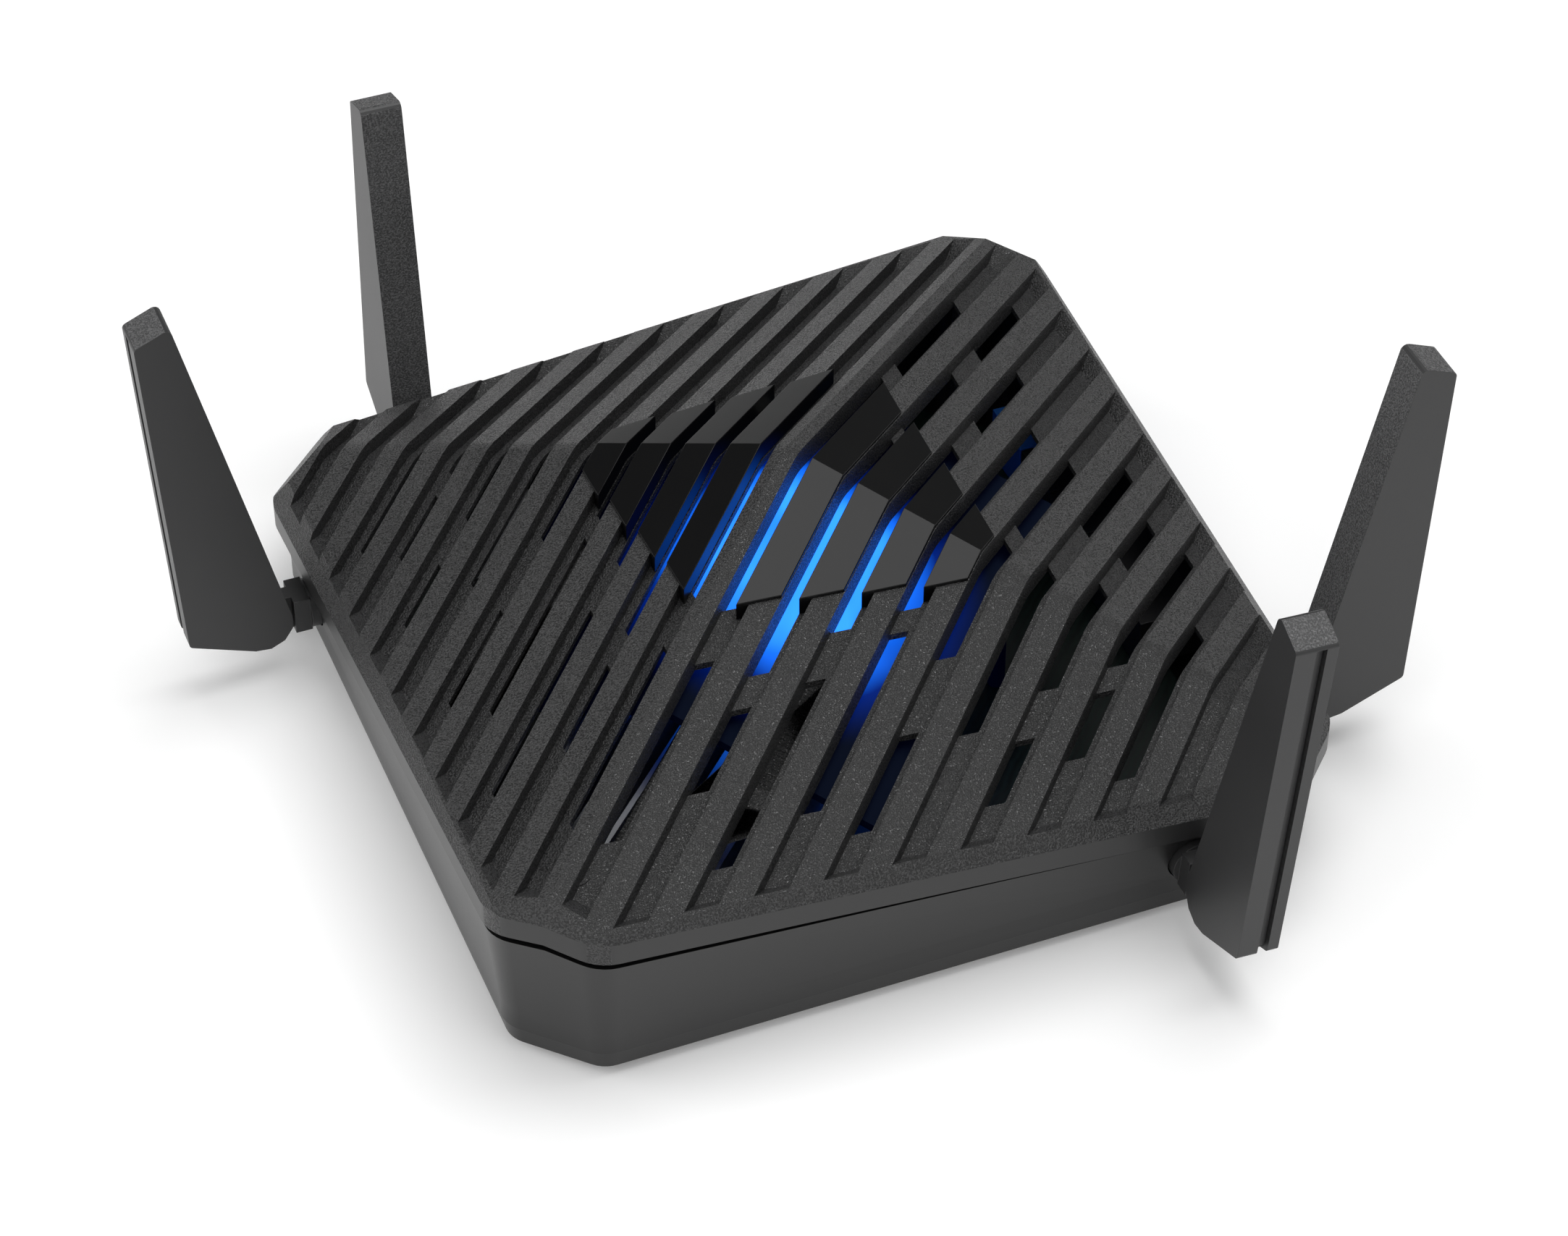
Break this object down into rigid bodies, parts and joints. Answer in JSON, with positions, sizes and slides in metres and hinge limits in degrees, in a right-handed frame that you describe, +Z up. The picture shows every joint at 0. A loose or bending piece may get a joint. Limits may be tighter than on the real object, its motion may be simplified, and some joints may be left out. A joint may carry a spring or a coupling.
{
  "type": "wireless router",
  "caption": "Low square desktop wireless router on its corner: slatted peaked cover with a lit blue core, tapered housing, and hinged fin antennas at the side corners.",
  "frame": {"origin": "middle of the footprint, on the surface the feet stand on", "axes": "+Z up; -Y towards the front corner; +Y towards the corner between the two port walls; the slats run along Y"},
  "size_m": [0.2755, 0.2536, 0.1091],
  "materials": {
    "slat_black": "fine spark-eroded grain, charcoal black",
    "satin_black": "smooth satin black",
    "gloss_black": "smooth semi-gloss black",
    "antenna_black": "satin charcoal with a fine grain on the inner edge",
    "lit_guide": "translucent light guide, lit blue",
    "circuit_board": "green solder mask",
    "tin": "tinned sheet",
    "aluminium": "extruded, natural",
    "jack_black": "moulded socket, black",
    "jack_blue": "moulded socket, blue",
    "rubber": "matte",
    "steel": "plated",
    "coax": "cable jacket"
  },
  "bodies": {
    "router": {"antenna_1_lead": "coax", "antenna_2_lead": "coax", "antenna_3_lead": "coax", "antenna_4_lead": "coax", "foot_1": "rubber", "foot_2": "rubber", "foot_3": "rubber", "foot_4": "rubber", "heat_sink": "aluminium", "led_board": "circuit_board", "light_guide": "lit_guide", "lower_housing": "satin_black", "main_board": "circuit_board", "network_jack_1": "jack_black", "network_jack_2": "jack_black", "network_jack_3": "jack_black", "network_jack_4": "jack_black", "power_jack": "jack_black", "screw_1": "steel", "screw_2": "steel", "screw_3": "steel", "screw_4": "steel", "shield_can_processor": "tin", "shield_can_radio": "tin", "top_cover": "slat_black", "trim_plate_left_1": "gloss_black", "trim_plate_left_2": "gloss_black", "trim_plate_left_3": "gloss_black", "trim_plate_left_4": "gloss_black", "trim_plate_right_1": "gloss_black", "trim_plate_right_2": "gloss_black", "trim_plate_right_3": "gloss_black", "trim_plate_right_4": "gloss_black", "uplink_jack": "jack_blue"},
    "antenna_1_swivel": {"antenna_1_arm": "antenna_black"},
    "antenna_1_fin": {"antenna_1_shell": "antenna_black", "antenna_1_strip": "antenna_black", "antenna_1_radiator": "circuit_board", "antenna_1_pin": "steel"},
    "antenna_2_swivel": {"antenna_2_arm": "antenna_black"},
    "antenna_2_fin": {"antenna_2_shell": "antenna_black", "antenna_2_strip": "antenna_black", "antenna_2_radiator": "circuit_board", "antenna_2_pin": "steel"},
    "antenna_3_swivel": {"antenna_3_arm": "antenna_black"},
    "antenna_3_fin": {"antenna_3_shell": "antenna_black", "antenna_3_strip": "antenna_black", "antenna_3_radiator": "circuit_board", "antenna_3_pin": "steel"},
    "antenna_4_swivel": {"antenna_4_arm": "antenna_black"},
    "antenna_4_fin": {"antenna_4_shell": "antenna_black", "antenna_4_strip": "antenna_black", "antenna_4_radiator": "circuit_board", "antenna_4_pin": "steel"},
    "power_button_body": {"power_button": "gloss_black"},
    "pairing_button_body": {"pairing_button": "gloss_black"}
  },
  "joints": [
    {"name": "antenna_1_swivel", "type": "hinge", "parent": "router", "child": "antenna_1_swivel", "pos_m": [-0.11696, -0.0379, 0.0172], "axis": [-0.7071, -0.7071, 0], "range_deg": [-90, 90]},
    {"name": "antenna_1_fold", "type": "hinge", "parent": "antenna_1_swivel", "child": "antenna_1_fin", "pos_m": [-0.11696, -0.0379, 0.0172], "axis": [0.7071, -0.7071, 0], "range_deg": [-7.8, 42.2]},
    {"name": "antenna_2_swivel", "type": "hinge", "parent": "router", "child": "antenna_2_swivel", "pos_m": [-0.11696, 0.0379, 0.0172], "axis": [-0.7071, 0.7071, 0], "range_deg": [-90, 90]},
    {"name": "antenna_2_fold", "type": "hinge", "parent": "antenna_2_swivel", "child": "antenna_2_fin", "pos_m": [-0.11696, 0.0379, 0.0172], "axis": [-0.7071, -0.7071, 0], "range_deg": [-0.9, 49.1]},
    {"name": "antenna_3_swivel", "type": "hinge", "parent": "router", "child": "antenna_3_swivel", "pos_m": [0.11696, 0.0379, 0.0172], "axis": [0.7071, 0.7071, 0], "range_deg": [-90.5, 89.5]},
    {"name": "antenna_3_fold", "type": "hinge", "parent": "antenna_3_swivel", "child": "antenna_3_fin", "pos_m": [0.11696, 0.0379, 0.0172], "axis": [-0.7071, 0.7071, 0.0087], "range_deg": [-7.1, 42.9]},
    {"name": "antenna_4_swivel", "type": "hinge", "parent": "router", "child": "antenna_4_swivel", "pos_m": [0.11802, -0.03684, 0.0172], "axis": [0.7071, -0.7071, 0], "range_deg": [-86.6, 93.4]},
    {"name": "antenna_4_fold", "type": "hinge", "parent": "antenna_4_swivel", "child": "antenna_4_fin", "pos_m": [0.11802, -0.03684, 0.0172], "axis": [0.7059, 0.7059, -0.0593], "range_deg": [-6.5, 43.5]},
    {"name": "power_button_press", "type": "slide", "parent": "router", "child": "power_button_body", "axis": [0.7071, -0.7071, 0], "range_m": [0, 0.0012], "stiffness_N_per_m": 500, "springref_m": -0.0006},
    {"name": "pairing_button_press", "type": "slide", "parent": "router", "child": "pairing_button_body", "axis": [0.7071, -0.7071, 0], "range_m": [0, 0.0012], "stiffness_N_per_m": 500, "springref_m": -0.0006}
  ]
}
